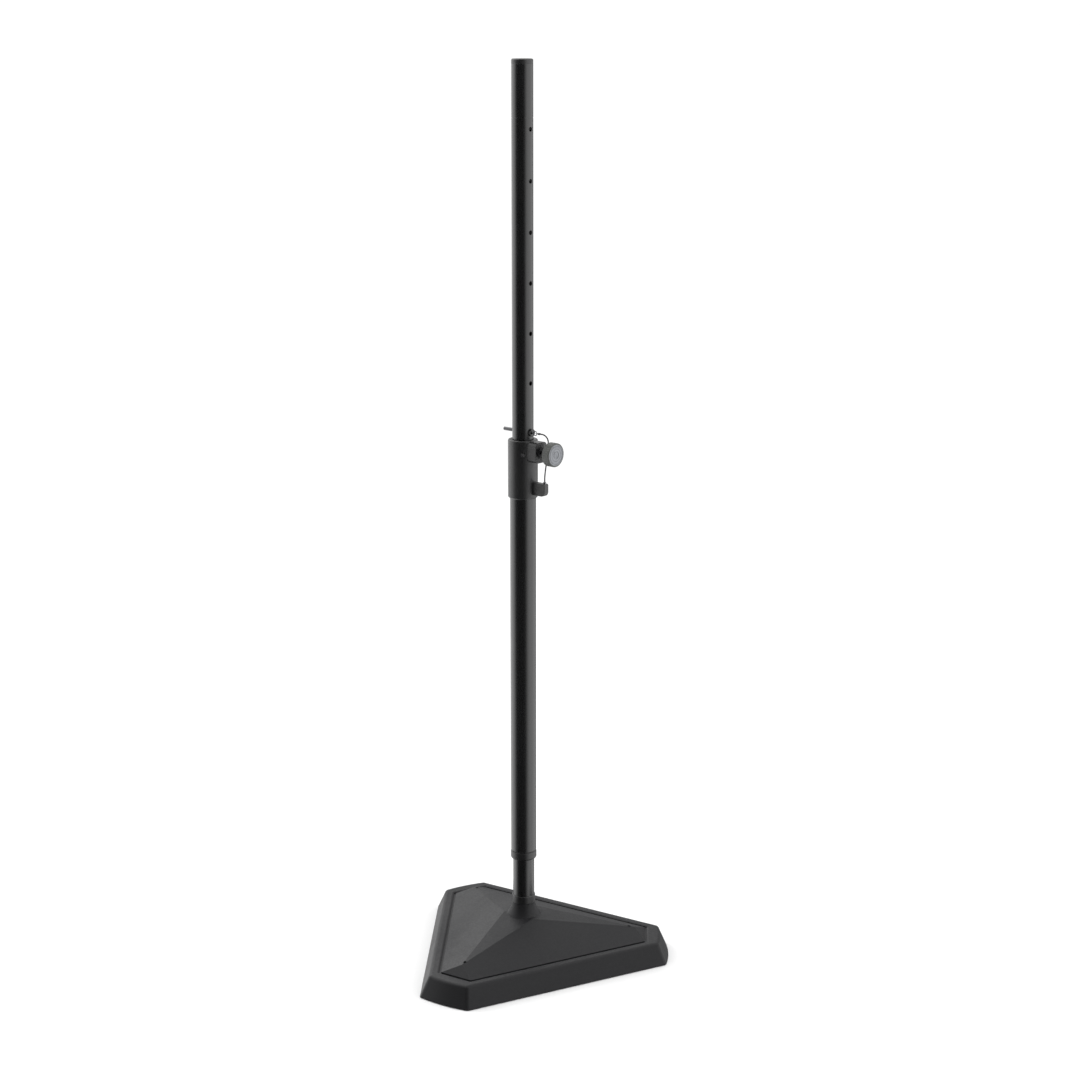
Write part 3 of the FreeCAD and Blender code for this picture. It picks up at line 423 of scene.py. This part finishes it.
CABLE_RADIUS = 0.0011
CABLE_SIDES = 24
STRANDS = 6
STRAND_DEPTH = 0.07  # how deep the grooves between strands are, as a share of the radius
STRAND_LAY = 0.009  # length in which the grooves shift by one strand
ROUTE_STEPS = 10  # pieces of the line for each span of its spline
LANYARD_LOWER = near_collar([
    (0.0229, 0.0, -0.066),
    (0.0229, 0.0, -0.0585),
    (0.0227, 0.0013, -0.0505),
    (0.0221, 0.0039, -0.0415),
    (0.0215, 0.0063, -0.0325),
    (0.0212, 0.0076, -0.0245),
    (0.0209, 0.0084, -0.0195),
])
LANYARD_UPPER = near_collar([
    (0.0209, 0.0084, -0.0195),
    (0.0206, 0.0092, -0.0145),
    (0.0210, 0.0100, -0.0084),
    (0.0223, 0.0096, -0.0026),
    (0.0231, 0.0082, 0.0024),
    (0.0226, 0.0060, 0.0069),
    (0.0205, 0.0038, 0.0103),
    (0.0170, 0.0019, 0.0122),
    (0.0128, 0.0006, 0.0124),
])


def smooth_line(points):
    """Points along the smooth curve that has the given control points."""
    curve = bpy.data.curves.new("route", "CURVE")
    curve.dimensions = "3D"
    curve.resolution_u = ROUTE_STEPS
    spline = curve.splines.new("NURBS")
    spline.points.add(len(points) - 1)
    for point, place in zip(spline.points, points):
        point.co = (*place, 1)
    spline.order_u = 3
    spline.use_endpoint_u = True
    holder = bpy.data.objects.new("route", curve)
    bpy.context.scene.collection.objects.link(holder)
    bpy.context.view_layer.update()
    evaluated = holder.evaluated_get(bpy.context.evaluated_depsgraph_get())
    mesh = bpy.data.meshes.new_from_object(evaluated)
    line = [v.co.copy() for v in mesh.vertices]
    bpy.data.objects.remove(holder)
    bpy.data.meshes.remove(mesh)
    return line


def line_turn(line):
    """How far the strands' grooves have shifted round by the end of a line."""
    return 2 * math.pi * sum((b - a).length for a, b in zip(line, line[1:])) / STRAND_LAY


def wire_rope(name, line, start_turn=0.0):
    """A jacketed wire rope along a line: round, with shallow grooves that wind round it."""
    vertices = []
    faces = []
    side = None
    travelled = 0.0
    for i, here in enumerate(line):
        ahead = (line[min(i + 1, len(line) - 1)] - line[max(i - 1, 0)]).normalized()
        if side is None:
            side = ahead.orthogonal().normalized()
        side = (side - ahead * side.dot(ahead)).normalized()
        other = ahead.cross(side)
        if i:
            travelled += (here - line[i - 1]).length
        lay = start_turn + 2 * math.pi * travelled / STRAND_LAY
        for k in range(CABLE_SIDES):
            angle = 2 * math.pi * k / CABLE_SIDES
            groove = 0.5 - 0.5 * math.cos(STRANDS * angle + lay)
            radius = CABLE_RADIUS * (1 - STRAND_DEPTH * groove**3)
            vertices.append(here + (side * math.cos(angle) + other * math.sin(angle)) * radius)
    for i in range(len(line) - 1):
        for k in range(CABLE_SIDES):
            n = (k + 1) % CABLE_SIDES
            a = i * CABLE_SIDES
            b = a + CABLE_SIDES
            faces.append((a + k, a + n, b + n, b + k))
    faces.append(tuple(reversed(range(CABLE_SIDES))))
    faces.append(tuple(range(len(vertices) - CABLE_SIDES, len(vertices))))
    mesh = bpy.data.meshes.new(name)
    mesh.from_pydata(vertices, [], faces)
    mesh.shade_smooth()
    rope = bpy.data.objects.new(name, mesh)
    bpy.context.scene.collection.objects.link(rope)
    mesh.materials.append(JACKET)
    return rope


JACKET = cable_jacket()
lower_line = smooth_line(LANYARD_LOWER)
upper_line = smooth_line(LANYARD_UPPER)
rope_lower = wire_rope("rope_lower", lower_line)
rope_upper = wire_rope("rope_upper", upper_line, line_turn(lower_line))
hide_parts("lanyard_lower")
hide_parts("lanyard_upper")
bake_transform(rope_lower)
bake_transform(rope_upper)

# ---------------------------------------------------------------- studio

# Directions on the floor plan are in degrees from +X. The camera looks from VIEWED_FROM.
VIEWED_FROM = math.degrees(math.atan2(camera.location.y, camera.location.x))
FLOOR_RADIUS = 300.0
FLOOR_GAP = 0.0002  # how far the floor lies below the stand's mat
TENT_RADIUS = 40.0
TENT_CENTRE = UP * 0.8
TENT_GLOW = 0.05
WORLD_GLOW = 1.08
LAMP_DISTANCE = 2.6  # from the pole's axis, measured along the floor

# A spot is (azimuth, elevation, inner, outer, brightness): full brightness within the inner
# angle from its middle, none past the outer one.
TENT_SPOTS = [
    (0, 90, 10, 45, 0.2),
    (VIEWED_FROM + 180, 39, 12, 41, 1.1),
    (VIEWED_FROM + 180, -16, 8, 24, 0.2),
]
# A wall is an upright panel: (azimuth, inner, outer, brightness).
TENT_WALLS = [
    (VIEWED_FROM - 125, 26, 58, 1.6),
    (VIEWED_FROM + 88, 34, 66, 1.3),
]


def heading(azimuth, elevation=0.0):
    """The unit vector in a direction given in degrees."""
    a = math.radians(azimuth)
    e = math.radians(elevation)
    return Vector((math.cos(a) * math.cos(e), math.sin(a) * math.cos(e), math.sin(e)))


def pale_floor():
    """White paper that runs far past the view. Gloss on the stand shows the tent instead of it."""
    n = Nodes("floor_paper")
    cloud = n.noise(1.5, 3)
    colour = n.mix(n.spread(cloud, 0, 1), (0.95, 0.95, 0.95), (0.97, 0.97, 0.97))
    material = n.set(Base_Color=colour, Roughness=0.9, Specular_IOR_Level=0.0)
    bpy.ops.mesh.primitive_circle_add(
        vertices=128, radius=FLOOR_RADIUS, fill_type="NGON", location=UP * -FLOOR_GAP
    )
    floor = bpy.context.object
    floor.name = "floor"
    floor.data.materials.append(material)
    floor.visible_glossy = False


def reflection_tent():
    """A round tent of dim cloth with bright panels, seen only in the stand's gloss."""
    n = Nodes("tent_cloth")
    towards = n.vector("NORMALIZE", n.place).outputs[0]
    level = n.vector("NORMALIZE", n.vector("MULTIPLY", n.place, (1, 1, 0)).outputs[0]).outputs[0]
    panels = [
        (towards, heading(azimuth, elevation), *rest) for azimuth, elevation, *rest in TENT_SPOTS
    ]
    panels += [(level, heading(azimuth), *rest) for azimuth, *rest in TENT_WALLS]
    total = TENT_GLOW
    for direction, centre, inner, outer, brightness in panels:
        across = n.vector("DOT_PRODUCT", direction, centre).outputs["Value"]
        edge = math.cos(math.radians(outer))
        full = math.cos(math.radians(inner))
        total = n.math("ADD", n.spread(across, 0, brightness, start=edge, end=full), total)
    glow = n.add("ShaderNodeEmission")
    n.join(total, glow.inputs["Strength"])
    n.join(glow.outputs[0], n.tree.nodes["Material Output"].inputs["Surface"])
    n.material.cycles.emission_sampling = "NONE"
    bpy.ops.mesh.primitive_uv_sphere_add(
        segments=48, ring_count=24, radius=TENT_RADIUS, location=TENT_CENTRE
    )
    tent = bpy.context.object
    tent.name = "tent"
    tent.data.materials.append(n.material)
    tent.visible_camera = False
    tent.visible_diffuse = False
    tent.visible_shadow = False
    tent.visible_transmission = False


def soft_box(name, azimuth, height, aim_height, size, power):
    """A soft lamp beside the stand that points at the pole, at aim_height above the floor."""
    light = bpy.data.lights.new(name, "AREA")
    light.shape = "RECTANGLE"
    light.size, light.size_y = size
    light.energy = power
    lamp = bpy.data.objects.new(name, light)
    lamp.location = heading(azimuth) * LAMP_DISTANCE + UP * height
    lamp.rotation_euler = (UP * aim_height - lamp.location).to_track_quat("-Z", "Y").to_euler()
    lamp.visible_glossy = False
    bpy.context.scene.collection.objects.link(lamp)


pale_floor()
reflection_tent()
soft_box("key", VIEWED_FROM - 118, height=2.4, aim_height=0.6, size=(1.6, 2.2), power=25)
soft_box("fill", VIEWED_FROM + 80, height=1.6, aim_height=0.8, size=(1.2, 2.0), power=12)
world = bpy.data.worlds.new("studio")
world.use_nodes = True
world.node_tree.nodes["Background"].inputs["Color"].default_value = (1, 1, 1, 1)
world.node_tree.nodes["Background"].inputs["Strength"].default_value = WORLD_GLOW
bpy.context.scene.world = world
world.cycles_visibility.glossy = False
bpy.context.scene.view_settings.view_transform = "Standard"
